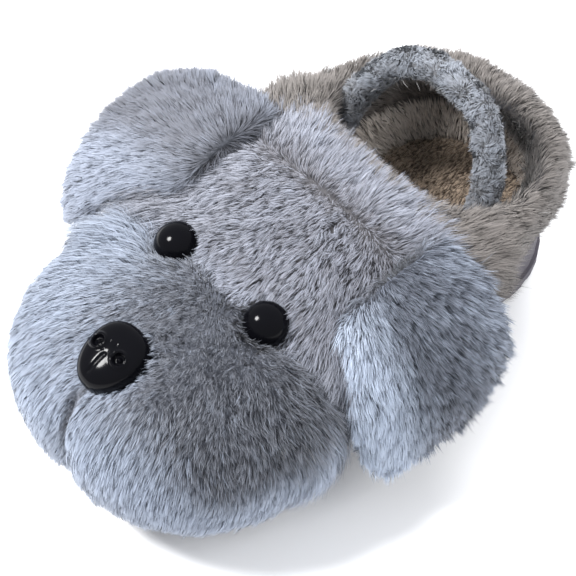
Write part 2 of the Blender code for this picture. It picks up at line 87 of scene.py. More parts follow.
picture_right, picture_up, picture_back = camera_axes()
camera_data = bpy.data.cameras.new("camera")
camera_data.sensor_width = SENSOR_MM
camera_data.lens = PIXELS_PER_METRE * CAMERA_DISTANCE / FRAME_PIXELS * SENSOR_MM
camera_data.shift_x = -(PICTURE_CENTRE[0] - FRAME_PIXELS / 2) / FRAME_PIXELS
camera_data.shift_y = (PICTURE_CENTRE[1] - FRAME_PIXELS / 2) / FRAME_PIXELS
camera_data.clip_start = 0.01
camera = bpy.data.objects.new("camera", camera_data)
bpy.context.scene.collection.objects.link(camera)
camera_place = CAMERA_TARGET + picture_back * CAMERA_DISTANCE
camera.matrix_world = looking_from(camera_place, picture_right, picture_up, picture_back)
bpy.context.scene.camera = camera
print("lens in mm:", round(camera_data.lens, 1))

# %% [markdown]
# ## The studio
#
# A wide pale floor and a few large, soft lamps. A large lamp gives the soft shade between the tufts that fur
# needs. The key lamp stands ahead of the toe on the far side, where the fur is brightest, and it is the only one
# that the polished parts mirror: one clear highlight reads better than three.

# %% Floor and lights
FLOOR_SIZE = 6.0
floor_mesh = bpy.data.meshes.new("studio_floor")
corners = FLOOR_SIZE / 2 * np.array([(-1, -1, 0), (1, -1, 0), (1, 1, 0), (-1, 1, 0)], float)
floor_mesh.from_pydata(corners.tolist(), [], [(0, 1, 2, 3)])
floor = bpy.data.objects.new("studio_floor", floor_mesh)
bpy.context.scene.collection.objects.link(floor)
floor_paint = bpy.data.materials.new("floor_paint")
floor_paint.use_nodes = True
floor_shader = floor_paint.node_tree.nodes["Principled BSDF"]
floor_shader.inputs["Base Color"].default_value = (0.86, 0.86, 0.87, 1.0)
floor_shader.inputs["Roughness"].default_value = 0.9
floor_mesh.materials.append(floor_paint)

LAMPS = (
    # name, share to the right, share up, share back, distance, size, watts
    ("key", -0.60, 0.45, 0.66, 1.3, 0.36, 30.0),
    ("fill", 0.80, 0.20, 0.55, 1.3, 0.90, 10.0),
    ("rim", 0.30, 0.90, 0.30, 1.1, 0.50, 9.0),
)
for name, right_share, up_share, back_share, distance, size, watts in LAMPS:
    lamp_data = bpy.data.lights.new(name, "AREA")
    lamp_data.shape = "DISK"
    lamp_data.size = size
    lamp_data.energy = watts
    lamp = bpy.data.objects.new(name, lamp_data)
    lamp.visible_glossy = name == "key"
    bpy.context.scene.collection.objects.link(lamp)
    aim = picture_right * right_share + picture_up * up_share + picture_back * back_share
    aim.normalize()
    turn = aim.to_track_quat("Z", "Y").to_matrix().to_4x4()
    lamp.matrix_world = Matrix.Translation(CAMERA_TARGET + aim * distance) @ turn

sky = bpy.data.worlds.new("studio_sky")
bpy.context.scene.world = sky
sky.use_nodes = True
sky.node_tree.nodes["Background"].inputs["Color"].default_value = (0.93, 0.96, 1.0, 1.0)
sky.node_tree.nodes["Background"].inputs["Strength"].default_value = 0.85
bpy.context.scene.view_settings.view_transform = "Standard"
print("lamps:", [row[0] for row in LAMPS])

# %% [markdown]
# ## Skins
#
# The soft parts are sewn from plush and stuffed. A skin starts as a copy of the solid that holds its place: the
# copy's loose triangles are merged, and turned back into four-sided faces, so that a subdivision surface can round
# them. A stuffed skin is remade with even faces and blown up as cloth for a few frames. No point may move past a
# cap: modelling the swell by hand would be slower, and a free simulation would lose the form.

# %% Make a skin from a solid
MERGE_DISTANCE = 0.00002
JOIN_ANGLE = math.radians(40)
SHAPE_ANGLE = math.radians(60)
CLOTH_QUALITY = 4
CLOTH_FRAMES = 20
RELAX_ROUNDS = 6
BODY = "root"


def new_piece(name, mesh):
    """An object for a mesh in the slipper's own frame, that moves with its body."""
    piece = bpy.data.objects.new(name, mesh)
    bpy.context.scene.collection.objects.link(piece)
    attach(piece, BODY)
    return piece


def add_modifier(piece, name, kind, **settings):
    modifier = piece.modifiers.new(name, kind)
    for setting, value in settings.items():
        setattr(modifier, setting, value)
    return modifier


def apply_modifiers(piece):
    """Puts what the modifiers made into the mesh itself."""
    seen = piece.evaluated_get(bpy.context.evaluated_depsgraph_get())
    mesh = bpy.data.meshes.new_from_object(seen)
    piece.modifiers.clear()
    piece.data = mesh


def skin_of(node, name):
    """A copy of a solid's mesh with its doubles merged and its triangles joined to quads, which replaces it."""
    edit = bmesh.new()
    edit.from_mesh(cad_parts[node].data)
    bmesh.ops.remove_doubles(edit, verts=edit.verts, dist=MERGE_DISTANCE)
    bmesh.ops.join_triangles(
        edit, faces=edit.faces, angle_face_threshold=JOIN_ANGLE, angle_shape_threshold=SHAPE_ANGLE
    )
    mesh = bpy.data.meshes.new(name)
    edit.to_mesh(mesh)
    edit.free()
    mesh.shade_smooth()
    piece = new_piece(name, mesh)
    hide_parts(node)
    return piece


def stuff(piece, voxel, pressure, cap, fill, inset=0.0):
    """Blows a skin up as cloth: even faces of one size, set in to leave room for the pile, then pressure from
    inside, with each point kept within a cap."""
    add_modifier(piece, "even_faces", "REMESH", mode="VOXEL", voxel_size=voxel)
    add_modifier(piece, "room_for_pile", "DISPLACE", strength=-inset, mid_level=0.0)
    apply_modifiers(piece)
    mesh = piece.data
    before = np.empty(len(mesh.vertices) * 3, np.float32)
    mesh.vertices.foreach_get("co", before)
    cloth = add_modifier(piece, "stuffing", "CLOTH")
    cloth.settings.quality = CLOTH_QUALITY
    cloth.settings.use_pressure = True
    cloth.settings.uniform_pressure_force = pressure
    cloth.settings.effector_weights.gravity = 0.0
    for frame_number in range(1, CLOTH_FRAMES + 1):
        bpy.context.scene.frame_set(frame_number)
    apply_modifiers(piece)
    mesh = piece.data
    after = np.empty(len(before), np.float32)
    mesh.vertices.foreach_get("co", after)
    move = (after - before).reshape(-1, 3)
    length = np.maximum(np.linalg.norm(move, axis=1), 1e-9)[:, None]
    move *= np.minimum(1.0, cap / length)
    mesh.vertices.foreach_set("co", (before.reshape(-1, 3) + move).ravel())
    print(piece.name, "moved by up to", round(1000 * float(np.linalg.norm(move, axis=1).max()), 2), "mm")
    add_modifier(piece, "relax", "SMOOTH", factor=0.5, iterations=RELAX_ROUNDS)
    apply_modifiers(piece)
    piece.data.shade_smooth()


# %% Stuffed skins
UPPER_SKIN = skin_of("upper", "upper_plush")
add_modifier(UPPER_SKIN, "round", "SUBSURF", levels=1, render_levels=1)
STUFFED = (
    # solid, piece, slot, face size, pressure, cap, fill, inset
    ("muzzle", "muzzle_plush", "muzzle_plush", 0.0035, 4.0, 0.0030, 0.9, 0.0),
    ("ear_left", "ear_left_plush", "ear_plush", 0.0025, 3.0, 0.0010, 0.4, 0.0022),
    ("ear_right", "ear_right_plush", "ear_plush", 0.0025, 3.0, 0.0010, 0.4, 0.0012),
    ("heel_strap", "heel_strap_fleece", "strap_fleece", 0.0020, 3.0, 0.0005, 0.7, 0.0008),
)
stuffed_skins = []
for node, piece_name, material_slot, *values in STUFFED:
    stuffed_skins.append(skin_of(node, piece_name))
    stuff(stuffed_skins[-1], *values)
MUZZLE_SKIN, *EAR_SKINS, STRAP_SKIN = stuffed_skins
FOOTBED_SKIN = skin_of("insole", "footbed_plush")
add_modifier(FOOTBED_SKIN, "round", "BEVEL", width=0.001, segments=2)

# %% [markdown]
# ## Colour of plush
#
# A plush thread is dark at its root, where little light gets in, and pale at its tip. Each strand carries a map of
# its own: the place along it goes up the map, and its tint, from warm and dark to cool and pale, goes across. One
# node group turns the two into a colour, and every plush material uses it with its own four colours.

# %% The strand group
STRAND_MAP = "OFBake"


def strand_group():
    """Colour of a strand: the root's colour turns to the tip's along it, and both run from one tint to another.
    The root's shade reaches furthest up the darkest strands."""
    tree = bpy.data.node_groups.new("strand_colour", "ShaderNodeTree")
    face = tree.interface
    for name in ("Dark Root", "Pale Root", "Dark Tip", "Pale Tip"):
        face.new_socket(name, in_out="INPUT", socket_type="NodeSocketColor")
    face.new_socket("Root Reach", in_out="INPUT", socket_type="NodeSocketFloat")
    face.new_socket("Color", in_out="OUTPUT", socket_type="NodeSocketColor")
    nodes, links = tree.nodes, tree.links
    inputs = nodes.new("NodeGroupInput")
    outputs = nodes.new("NodeGroupOutput")
    strand_map = nodes.new("ShaderNodeUVMap")
    strand_map.uv_map = STRAND_MAP
    apart = nodes.new("ShaderNodeSeparateXYZ")
    links.new(strand_map.outputs["UV"], apart.inputs["Vector"])
    shade_end = nodes.new("ShaderNodeMapRange")
    links.new(apart.outputs["X"], shade_end.inputs["Value"])
    links.new(inputs.outputs["Root Reach"], shade_end.inputs["To Min"])
    shade_end.inputs["To Max"].default_value = 0.0
    along = nodes.new("ShaderNodeMapRange")
    along.interpolation_type = "SMOOTHSTEP"
    links.new(apart.outputs["Y"], along.inputs["Value"])
    links.new(shade_end.outputs["Result"], along.inputs["From Min"])
    mixes = []
    for dark, pale in (("Dark Root", "Pale Root"), ("Dark Tip", "Pale Tip")):
        mix = nodes.new("ShaderNodeMix")
        mix.data_type = "RGBA"
        links.new(apart.outputs["X"], mix.inputs["Factor"])
        links.new(inputs.outputs[dark], mix.inputs["A"])
        links.new(inputs.outputs[pale], mix.inputs["B"])
        mixes.append(mix)
    whole = nodes.new("ShaderNodeMix")
    whole.data_type = "RGBA"
    links.new(along.outputs["Result"], whole.inputs["Factor"])
    links.new(mixes[0].outputs["Result"], whole.inputs["A"])
    links.new(mixes[1].outputs["Result"], whole.inputs["B"])
    links.new(whole.outputs["Result"], outputs.inputs["Color"])
    return tree


STRAND_COLOUR = strand_group()
PLUSH_COLOURS = {
    # name: dark root, pale root, dark tip, pale tip
    "muzzle": ((0.020, 0.020, 0.025), (0.300, 0.348, 0.440), (0.205, 0.217, 0.252), (0.335, 0.385, 0.485)),
    "head": ((0.040, 0.037, 0.042), (0.190, 0.205, 0.250), (0.230, 0.228, 0.255), (0.390, 0.420, 0.505)),
    "ear": ((0.022, 0.025, 0.034), (0.270, 0.310, 0.395), (0.150, 0.164, 0.204), (0.500, 0.570, 0.690)),
    # The far ear is the same plush as the near one, set darker: painted shade against the key lamp on its side.
    "far_ear_shaded": ((0.060, 0.062, 0.074), (0.150, 0.165, 0.200), (0.150, 0.156, 0.182), (0.330, 0.365, 0.450)),
    "collar": ((0.040, 0.034, 0.030), (0.120, 0.110, 0.102), (0.145, 0.128, 0.118), (0.270, 0.250, 0.240)),
    # The lining's colours are set much paler than the collar's: painted light against the shade inside the
    # opening.
    "lining": ((0.150, 0.128, 0.112), (0.300, 0.264, 0.236), (0.360, 0.315, 0.280), (0.760, 0.690, 0.630)),
    "footbed": ((0.090, 0.066, 0.048), (0.180, 0.138, 0.104), (0.320, 0.240, 0.180), (0.520, 0.410, 0.310)),
    "fleece": ((0.060, 0.060, 0.064), (0.130, 0.140, 0.160), (0.150, 0.150, 0.158), (0.370, 0.405, 0.470)),
}
ROOT_REACH = {"fleece": 0.0, "muzzle": 0.42, "ear": 0.45, "head": 0.30}
USUAL_ROOT_REACH = 0.15


def plush_material(finish):
    """Matt plush with a soft sheen, whose colour comes from the strand group."""
    material = bpy.data.materials.new(finish + "_strands")
    material.use_nodes = True
    nodes, links = material.node_tree.nodes, material.node_tree.links
    shader = nodes["Principled BSDF"]
    shader.inputs["Roughness"].default_value = 0.62
    shader.inputs["Specular IOR Level"].default_value = 0.25
    shader.inputs["Sheen Weight"].default_value = 0.25
    shader.inputs["Sheen Roughness"].default_value = 0.5
    group = nodes.new("ShaderNodeGroup")
    group.node_tree = STRAND_COLOUR
    for name, colour in zip(("Dark Root", "Pale Root", "Dark Tip", "Pale Tip"), PLUSH_COLOURS[finish]):
        group.inputs[name].default_value = (*colour, 1.0)
    group.inputs["Root Reach"].default_value = ROOT_REACH.get(finish, USUAL_ROOT_REACH)
    links.new(group.outputs["Color"], shader.inputs["Base Color"])
    return material


STRANDS = {finish: plush_material(finish) for finish in PLUSH_COLOURS}
print("plush finishes:", sorted(STRANDS))

# %% [markdown]
# ## Growing fur
#
# Hair curves would render as fur too, but fur that is exported has to be mesh. Each strand is a narrow leaf of two
# triangles, bent across its middle. Roots are spread evenly over a skin, and each belongs to a small tuft whose
# tips lean together, which makes the light tips and dark gaps of real pile. The nap, the way the pile lies, is a
# field worked out from the root's place.

# %% Surfaces as arrays
def unit(vectors):
    """Vectors divided by their length."""
    return vectors / np.maximum(np.linalg.norm(vectors, axis=-1, keepdims=True), 1e-12)


def arrays_of(piece):
    """Points, triangles and outward unit normals of a piece, with its modifiers."""
    seen = piece.evaluated_get(bpy.context.evaluated_depsgraph_get())
    mesh = seen.to_mesh()
    mesh.calc_loop_triangles()
    points = np.empty(len(mesh.vertices) * 3, np.float32)
    mesh.vertices.foreach_get("co", points)
    normals = np.empty(len(mesh.vertices) * 3, np.float32)
    mesh.vertices.foreach_get("normal", normals)
    corners = np.empty(len(mesh.loop_triangles) * 3, np.int32)
    mesh.loop_triangles.foreach_get("vertices", corners)
    seen.to_mesh_clear()
    return points.reshape(-1, 3).astype(float), corners.reshape(-1, 3), normals.reshape(-1, 3).astype(float)


def waves(points, size, rng, count=8):
    """A smooth random vector field: sines of the place along random directions, about one size from crest to
    crest."""
    turns = rng.normal(size=(3, count, 3))
    turns *= 2 * math.pi / size / np.linalg.norm(turns, axis=2, keepdims=True)
    phases = rng.random((3, count)) * 2 * math.pi
    parts = [np.sin(points @ turns[k].T + phases[k]).sum(axis=1) for k in range(3)]
    return np.stack(parts, axis=1) / math.sqrt(count)


def roots_on(piece, count, density, rng):
    """Places and normals of roots: a triangle is drawn by its area times the density at its middle, and a point
    in it at shares 1 - s, s(1 - t) and st, where s is the square root of one random number and t another."""
    points, triangles, normals = arrays_of(piece)
    corners = points[triangles]
    first, second = corners[:, 1] - corners[:, 0], corners[:, 2] - corners[:, 0]
    area = np.linalg.norm(np.cross(first, second), axis=1) / 2
    weight = area * density(corners.mean(axis=1), unit(normals[triangles].sum(axis=1)))
    chosen = rng.choice(len(triangles), count, p=weight / weight.sum())
    s = np.sqrt(rng.random(count))
    t = rng.random(count)
    share = np.stack([1 - s, s * (1 - t), s * t], axis=1)[:, :, None]
    root = (corners[chosen] * share).sum(axis=1)
    normal = unit((normals[triangles[chosen]] * share).sum(axis=1))
    return root, normal, weight.sum()


def tufts(root, size, rng):
    """For each root, its tuft's number and middle: space, bent by a gentle wave, is cut into cells of a size."""
    bent = root + 0.3 * size * waves(root, 4 * size, rng)
    cell = np.floor(bent / size).astype(np.int64)
    key = cell @ np.array([73856093, 19349663, 83492791])
    _, number = np.unique(key, return_inverse=True)
    number = number.reshape(-1)
    amount = np.bincount(number)
    middle = np.stack([np.bincount(number, root[:, k]) / amount for k in range(3)], axis=1)
    return number, middle[number], len(amount)


# %% Strands
FLOOR_CLEARANCE = 0.0004
ROOT_SINK = 0.0006
SHORTEST = 0.001
SWAY_SIZE = 0.022
LOOSE_UPRIGHT = 2.6
FACING_SHARE = 0.35
NORMAL_GRAIN = 0.10
TUFT_TINT = 0.07
STRAND_TINT = 0.12


def strand_mesh(name, stations, side, width, shade_normal, tint):
    """A mesh of leaf-shaped strands: one corner at the root, two half way and one at the tip, each with a map of
    its own that holds its tint across and the place along the strand upwards."""
    root, middle, tip = stations
    half = side * (width / 2)[:, None]
    corners = np.stack([root, middle + half, middle - half, tip], axis=1)
    corners[:, :, 2] = np.maximum(corners[:, :, 2], FLOOR_CLEARANCE)
    count = len(root)
    mesh = bpy.data.meshes.new(name)
    mesh.vertices.add(4 * count)
    mesh.vertices.foreach_set("co", corners.astype(np.float32).ravel())
    pattern = np.array([0, 1, 2, 2, 1, 3])
    loops = (4 * np.arange(count)[:, None] + pattern).ravel()
    mesh.loops.add(6 * count)
    mesh.loops.foreach_set("vertex_index", loops.astype(np.int32))
    mesh.polygons.add(2 * count)
    mesh.polygons.foreach_set("loop_start", 3 * np.arange(2 * count, dtype=np.int32))
    along = np.array([0.0, 0.5, 0.5, 0.5, 0.5, 1.0])
    strand_map = np.stack([np.repeat(tint, 6), np.tile(along, count)], axis=1)
    mesh.uv_layers.new(name=STRAND_MAP).data.foreach_set("uv", strand_map.astype(np.float32).ravel())
    mesh.update(calc_edges=True)
    mesh.shade_smooth()
    mesh.normals_split_custom_set_from_vertices(np.repeat(shade_normal, 4, axis=0).astype(np.float32))
    return mesh


def grow_fur(
    name, skin, finish, count, length, width, nap, density, patch, seed,
    tuft=0.0024, lean=0.62, pull=0.30, wild=0.13,
):
    """Fur on a skin. A strand leaves it between its normal and the nap, half way bends down further to the nap,
    and its tip is pulled towards its tuft's middle. Tufts and strands differ a little in length, way and tint,
    and the flatter the pile lies, the less they do."""
    rng = np.random.default_rng(seed)
    root, normal, area = roots_on(skin, count, density, rng)
    number, middle_of_tuft, amount = tufts(root, tuft, rng)
    flow = nap(root, normal)
    flow = unit(flow - normal * (flow * normal).sum(axis=1, keepdims=True))
    lean = lean(root, normal)[:, None] if callable(lean) else lean
    loose = LOOSE_UPRIGHT * (1 - lean)
    held = np.minimum(loose, 1.0)
    sway = wild * (waves(root, SWAY_SIZE, rng) + rng.normal(size=(amount, 3))[number] * 0.8) * loose
    stray = wild * 0.9 * rng.normal(size=(count, 3)) * loose
    first = unit(normal * (1 - 0.5 * lean) + flow * 0.5 * lean + 0.5 * (sway + stray))
    second = unit(normal * (1 - lean) + flow * lean + sway + stray)
    full = length(root, normal) * (1 + 0.16 * rng.normal(size=amount)[number] + 0.12 * rng.normal(size=count))
    full = np.clip(full, SHORTEST, None)[:, None]
    gather = (middle_of_tuft - root) * pull * held
    middle = root + first * full * 0.5 + gather * 0.35
    tip = middle + second * full * 0.5 + gather * 0.65
    side = unit(np.cross(tip - root, normal) + 0.5 * rng.normal(size=(count, 3)) * full)
    facing = unit(np.cross(side, tip - root))
    facing *= np.sign((facing * normal).sum(axis=1, keepdims=True) + 1e-9)
    grain = FACING_SHARE * facing + NORMAL_GRAIN * rng.normal(size=(count, 3))
    shade_normal = unit(normal + grain * held)
    place_tint = patch(root, normal)
    tint_grain = TUFT_TINT * rng.normal(size=amount)[number] + STRAND_TINT * rng.normal(size=count)
    tint = place_tint + tint_grain * (1.3 - place_tint)
    tint = np.clip(tint, 0.02, 0.98)
    tint[:2] = (0.02, 0.98)
    sunk = root - normal * ROOT_SINK
    thick = width * (0.75 + 0.5 * rng.random(count))
    mesh = strand_mesh(name, (sunk, middle, tip), side, thick, shade_normal, tint)
    fur = new_piece(name, mesh)
    mesh.materials.append(STRANDS[finish])
    print(name, "has", count, "strands,", round(count / (area * 1e6), 2), "on a square millimetre")
    return fur


# %% [markdown]
# ## Where each pile grows, and which way it lies
#
# The head's pile starts at a parting across the crown: ahead of it the nap runs to the toe, behind it to the
# throat's edge. The muzzle's pile runs outward and down from between the eyes, the ears' from their roots to their
# rims, and the collar's outward over the rim. Pile is clipped short round the eyes and the nose, so that they show
# whole. Each pile is four fields of the place: how dense, how long, which way, and which tint.

# %% Places on the shoe
PARTING_Y = 0.010
PARTING_HALF_WIDTH = 0.005
SEAM_Y = -0.050
EAR_POINT_STEP = 7
ROOTS_AT_ONCE = 4000


def smooth(low, high, at):
    """0 at low, 1 at high, and 3t^2 - 2t^3 between."""
    t = np.clip((at - low) / (high - low), 0, 1)
    return t * t * (3 - 2 * t)


def bell(distance, width):
    """exp(-(distance / width)^2): 1 at no distance, and next to 0 past two widths."""
    return np.exp(-((distance / width) ** 2))


def patchy(points, size, seed):
    """Soft patches from about -1 to 1, a size apart."""
    return waves(points, size, np.random.default_rng(seed))[:, 0] * 0.6


def middle_of(node):
    low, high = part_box(node)
    return np.array((low + high) / 2)


CLIPPED_ROUND = (
    # node, bare radius, radius of full pile
    ("eye_left", 0.0082, 0.0155),
    ("eye_right", 0.0082, 0.0155),
    ("nose", 0.0122, 0.0210),
)


def clipped(root):
    """Share of the full length: 0 at a hard part's rim, 1 past the radius of full pile."""
    share = np.ones(len(root))
    for node, bare, full in CLIPPED_ROUND:
        share *= smooth(bare - 0.003, full, np.linalg.norm(root - middle_of(node), axis=1))
    return share


def pile(value):
    """A pile of one length, clipped round the hard parts."""
    return lambda root, normal: value * (0.22 + 0.78 * clipped(root))


def bare_rim(root):
    """0 under a hard part and 1 beside it."""
    share = np.ones(len(root))
    for node, bare, _ in CLIPPED_ROUND:
        share *= smooth(bare - 0.002, bare, np.linalg.norm(root - middle_of(node), axis=1))
    return share


def pale_round(root, node, full):
    """1 beside a hard part and 0 at a distance."""
    return smooth(full + 0.004, full - 0.006, np.linalg.norm(root - middle_of(node), axis=1))


def by_ear(root, index):
    """1 at the root of an ear, where the head's pile runs over the ear's seam, and 0 a short way off or further
    ahead. The distance is to the nearest of every few points of the ear's skin."""
    ear_points = arrays_of(EAR_SKINS[index])[0][::EAR_POINT_STEP]
    nearest = np.empty(len(root))
    for start in range(0, len(root), ROOTS_AT_ONCE):
        some = slice(start, start + ROOTS_AT_ONCE)
        apart = root[some, None] - ear_points
        nearest[some] = np.sqrt((apart**2).sum(axis=2).min(axis=1))
    return smooth(0.012, 0.004, nearest) * smooth(-0.018, -0.004, root[:, 1])


def cheek(root):
    """1 on the cheeks, where the head meets the muzzle's sides under the ears."""
    side = smooth(0.038, 0.048, np.abs(root[:, 0])) * smooth(0.086, 0.070, root[:, 2])
    return side * smooth(-0.075, -0.060, root[:, 1]) * smooth(0.000, -0.015, root[:, 1])


# %% Fur of the muzzle
CREASE_HALF_WIDTH = 0.0024


def crease(root):
    """1 in the crease that runs down from the nose, fading to 0 beside it and towards its lower end."""
    under_nose = smooth(0.080, 0.074, root[:, 2]) * smooth(-0.100, -0.110, root[:, 1])
    return under_nose * smooth(0.034, 0.050, root[:, 2]) * bell(root[:, 0], CREASE_HALF_WIDTH)


def muzzle_nap(root, normal):
    """Away from a point over the forehead, and down."""
    return unit(root - np.array([0.0, -0.020, 0.120])) + np.array([0.0, 0.0, -0.35])


def muzzle_density(place, normal):
    """Thick where it shows, thin underneath, and none where the head covers it."""
    shown = smooth(-0.95, -0.5, normal[:, 2]) * smooth(-0.012, -0.030, place[:, 1])
    return (0.12 + 0.88 * shown) * smooth(-0.004, -0.012, place[:, 1]) * bare_rim(place)


def muzzle_shade(root, normal):
    """1 on top from the eyes down the near side, where the pile stands up and its tint is given a painted shade.
    """
    near = smooth(-0.046, 0.014, root[:, 0] + 0.25 * (root[:, 1] + 0.075))
    return near * smooth(-0.05, 0.50, normal[:, 2]) * smooth(-0.122, -0.095, root[:, 1])


def muzzle_patch(root, normal):
    """Painted shade down the near side of the top, in the crease and low down; darker on top, paler round the
    front, palest beside the nose.
    """
    # Painted shade: the second term of dim darkens the muzzle low down, and the tint is lowered on the near side's
    # top and in the crease.
    dim = 0.22 * smooth(0.30, 0.95, normal[:, 2]) + 0.12 * smooth(0.050, 0.025, root[:, 2])
    tone = 0.86 - dim - 0.78 * muzzle_shade(root, normal) + 0.05 * patchy(root, 0.030, 11)
    halo = 0.8 * pale_round(root, "nose", 0.0170)
    return (tone + (0.95 - tone) * halo) * (1 - 0.95 * crease(root))


def muzzle_length(root, normal):
    """Fuller at the cheeks, most on the far one, and clipped in the crease and round the eyes and the nose."""
    far_cheek = cheek(root) * smooth(0.0, -0.030, root[:, 0])
    grown = 1 + 0.7 * cheek(root) + 0.8 * far_cheek
    return 0.0074 * (0.22 + 0.78 * clipped(root)) * grown * (1 - 0.75 * crease(root))


def muzzle_lean(root, normal):
    """The pile stands up in the shade and lies flatter elsewhere."""
    return 0.90 - 0.30 * muzzle_shade(root, normal)


muzzle_fur = grow_fur(
    "muzzle_fur", MUZZLE_SKIN, "muzzle", 98000, muzzle_length, 0.00028,
    muzzle_nap, muzzle_density, muzzle_patch, seed=1, lean=muzzle_lean,
)


# %% Fur of the head
def head_nap(root, normal):
    """Toe-ward ahead of the parting and heel-ward behind it, and outward towards the sides."""
    behind = 2 * smooth(PARTING_Y - 0.004, PARTING_Y + 0.004, root[:, 1]) - 1
    flow = np.zeros_like(root)
    flow[:, 0] = root[:, 0] * 12
    flow[:, 1] = behind
    flow[:, 2] = -0.2
    return flow


def head_density(place, normal):
    """On the head's outer face, from the seam at the eyes to the throat's edge."""
    outer = smooth(-0.5, -0.1, normal[:, 2]) * smooth(0.030, 0.045, place[:, 2])
    between = smooth(0.041, 0.034, place[:, 1]) * smooth(SEAM_Y - 0.020, SEAM_Y - 0.012, place[:, 1])
    return outer * between * bare_rim(place)


def head_length(root, normal):
    """Short at the parting, where the backing is pulled in, and at the seam, and long at the cheeks and where it
    covers the seam of the ear."""
    parting = bell(root[:, 1] - PARTING_Y, PARTING_HALF_WIDTH)
    seam = smooth(SEAM_Y + 0.020, SEAM_Y, root[:, 1])
    short = (1 - 0.45 * parting) * (1 - 0.30 * seam) * (0.22 + 0.78 * clipped(root))
    grown = 1 + 0.9 * cheek(root) * (1 + smooth(0.0, -0.030, root[:, 0]))
    return 0.0080 * short * grown * (1 + 0.5 * by_ear(root, 0))


def head_patch(root, normal):
    """Darker and warmer at the parting, darker by the ear's root as painted shade under the ear, paler at the seam
    as a painted highlight on the forehead pile's front edge, and paler on the strip along the throat's edge."""
    parting = bell(root[:, 1] - PARTING_Y, PARTING_HALF_WIDTH)
    seam = smooth(SEAM_Y + 0.018, SEAM_Y + 0.004, root[:, 1])
    strip = smooth(PARTING_Y + 0.006, PARTING_Y + 0.012, root[:, 1])
    # Painted highlight: the seam term pales the forehead's edge. Painted shade: the last term darkens the pile by
    # the ear's root.
    tone = 0.44 - 0.32 * parting + 0.30 * seam + 0.10 * strip + 0.07 * patchy(root, 0.025, 12)
    return tone - 0.16 * by_ear(root, 0) * smooth(0.030, 0.0, root[:, 1])


head_fur = grow_fur(
    "head_fur", UPPER_SKIN, "head", 86000, head_length, 0.00030,
    head_nap, head_density, head_patch, seed=2, lean=0.70,
)


# %% Fur of the heel part
COLLAR_MIDDLE = np.array([0.0, 0.070, 0.0])
FUR_LINE = 0.030
FUR_LINE_RISE = 0.018


def fur_line(place):
    """Height at which the fur starts: it rises towards the heel, over a plain band of cloth."""
    return FUR_LINE + FUR_LINE_RISE * smooth(0.010, 0.034, place[:, 1])


def facing_out(place, normal):
    """1 where a face looks away from the middle of the opening, -1 where it looks towards it."""
    return (normal * unit(place * (1, 1, 0) - COLLAR_MIDDLE)).sum(axis=1)


def collar_nap(root, normal):
    """Over the rim and outward, towards the heel."""
    flow = np.zeros_like(root)
    flow[:, 0] = 0.5 * np.tanh(root[:, 0] / 0.020)
    flow[:, 1] = 0.8
    flow[:, 2] = -0.12
    return flow


def collar_density(place, normal):
    outer = smooth(-0.4, 0.2, facing_out(place, normal) + 0.9 * normal[:, 2])
    over_rim = 0.8 * smooth(0.048, 0.056, place[:, 2])
    behind_head = smooth(0.028, 0.038, place[:, 1] + 0.25 * smooth(0.06, 0.03, place[:, 2]) * 0.06)
    return np.maximum(outer, over_rim) * behind_head * smooth(0.0, 0.003, place[:, 2] - fur_line(place))


def collar_length(root, normal):
    """Short just over the sole, where the fur ends in a clean line, and fuller at the shoulders beside the
    throat."""
    shoulder = smooth(0.040, 0.048, np.abs(root[:, 0])) * smooth(0.062, 0.045, root[:, 1])
    full = 0.0070 * (1 + 0.9 * shoulder)
    return full * (0.24 + 0.76 * smooth(0.0, 0.018, root[:, 2] - fur_line(root)))


def collar_patch(root, normal):
    # Painted shade: darker on the faces that look into the opening, below the rim's top.
    inside = smooth(0.3, -0.3, facing_out(root, normal)) * smooth(0.082, 0.070, root[:, 2])
    return 0.50 - 0.40 * inside + 0.12 * patchy(root, 0.030, 13)


collar_fur = grow_fur(
    "collar_fur", UPPER_SKIN, "collar", 84000, collar_length, 0.00038,
    collar_nap, collar_density, collar_patch, seed=3,
)


# %% Lining and footbed
def lining_nap(root, normal):
    """Down the wall and a little towards the heel."""
    return np.tile(np.array([0.0, 0.3, -1.0]), (len(root), 1))


def lining_density(place, normal):
    inner = smooth(0.2, -0.4, facing_out(place, normal)) * smooth(0.056, 0.048, place[:, 2])
    under_instep = smooth(0.0, -0.4, normal[:, 2]) * smooth(0.045, 0.030, place[:, 1])
    under_instep *= smooth(0.046, 0.040, np.abs(place[:, 0]))
    return np.maximum(inner, under_instep) * smooth(-0.010, 0.010, place[:, 1]) * smooth(0.026, 0.034, place[:, 2])


def lining_patch(root, normal):
    """Paler towards the rim, and darker deeper in and on the heel's inner wall on the near side: painted shade in
    the opening.
    """
    # Painted shade on the near side's inner wall of the heel, and deeper in towards the footbed.
    heel = smooth(0.060, 0.090, root[:, 1]) * smooth(-0.020, 0.010, root[:, 0])
    return 0.85 + 0.1 * smooth(0.045, 0.066, root[:, 2]) - 0.70 * heel + 0.08 * patchy(root, 0.020, 14)


lining_fur = grow_fur(
    "lining_fur", UPPER_SKIN, "lining", 26000, pile(0.0060), 0.00050,
    lining_nap, lining_density, lining_patch, seed=4,
)


def footbed_nap(root, normal):
    return np.tile(np.array([0.2, -1.0, 0.0]), (len(root), 1))


def footbed_density(place, normal):
    return smooth(0.6, 0.9, normal[:, 2]) * smooth(-0.020, 0.000, place[:, 1])


def footbed_patch(root, normal):
    return 0.80 + 0.08 * patchy(root, 0.018, 15)


footbed_fur = grow_fur(
    "footbed_fur", FOOTBED_SKIN, "footbed", 24000, pile(0.0050), 0.00034,
    footbed_nap, footbed_density, footbed_patch, seed=5, lean=0.86,
)


